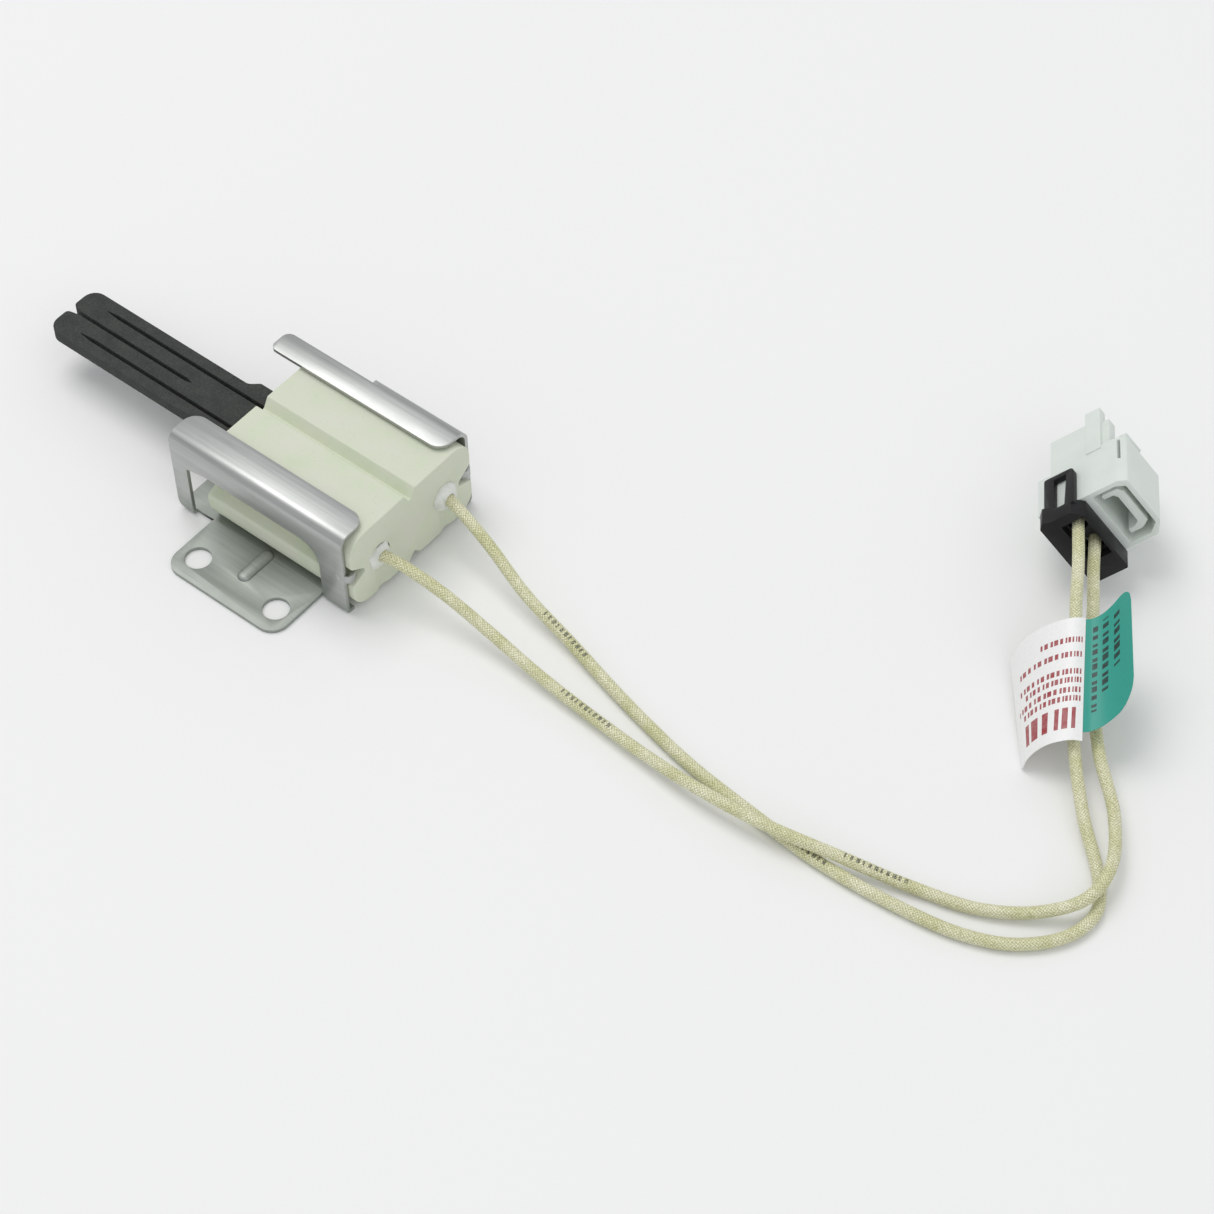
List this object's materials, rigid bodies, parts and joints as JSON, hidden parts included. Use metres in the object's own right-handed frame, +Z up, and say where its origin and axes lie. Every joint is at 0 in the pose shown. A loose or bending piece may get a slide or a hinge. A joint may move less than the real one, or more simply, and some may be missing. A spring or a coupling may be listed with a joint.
{
  "type": "hot surface igniter",
  "caption": "Flat silicon-carbide hot-surface igniter in a ceramic block and folded steel bracket, with braided leads to a latching plug.",
  "frame": {"origin": "underside of the bracket's mounting flange, midway between its two screw holes", "axes": "+X along the block from the element's tip to the leads, +Y from the flange across the block, +Z up from the face that the flange is screwed to"},
  "size_m": [0.2443, 0.1332, 0.0246],
  "materials": {
    "ceramic": "unglazed, slightly rough",
    "carbide": "rough matte recrystallised silicon carbide",
    "cement": "matte white refractory cement",
    "nickel": "nickel-plated clip",
    "copper": "nickel-plated stranded copper",
    "steel": "satin stainless sheet",
    "braid": "lacquered cream glass braid",
    "white_paper": "smooth white label stock",
    "teal_paper": "satin teal label stock",
    "grey_nylon": "moulded pale grey nylon",
    "black_nylon": "moulded black nylon",
    "tin": "bright tin plate"
  },
  "bodies": {
    "igniter": {"ceramic_block": "ceramic", "sic_element": "carbide", "front_cement": "cement", "rear_cement_left": "cement", "rear_cement_right": "cement", "element_terminal_left": "nickel", "element_terminal_right": "nickel", "lead_core_left": "copper", "lead_core_right": "copper", "mounting_bracket": "steel", "lead_left": "braid", "lead_right": "braid", "white_label": "white_paper", "teal_label": "teal_paper", "connector_housing": "grey_nylon", "contact_left": "tin", "contact_right": "tin", "contact_core_left": "copper", "contact_core_right": "copper"},
    "retainer": {"connector_retainer": "black_nylon"},
    "latch": {"connector_latch": "grey_nylon"}
  },
  "joints": [
    {"name": "retainer_slide", "type": "slide", "parent": "igniter", "child": "retainer", "axis": [0.5477, -0.8213, 0.1599], "range_m": [0, 0.003]},
    {"name": "latch_press", "type": "hinge", "parent": "igniter", "child": "latch", "pos_m": [0.12698, 0.11599, 0.0152], "axis": [0.5747, 0.2304, -0.7852], "range_deg": [0, 6], "stiffness_Nm_per_rad": 0.3}
  ]
}
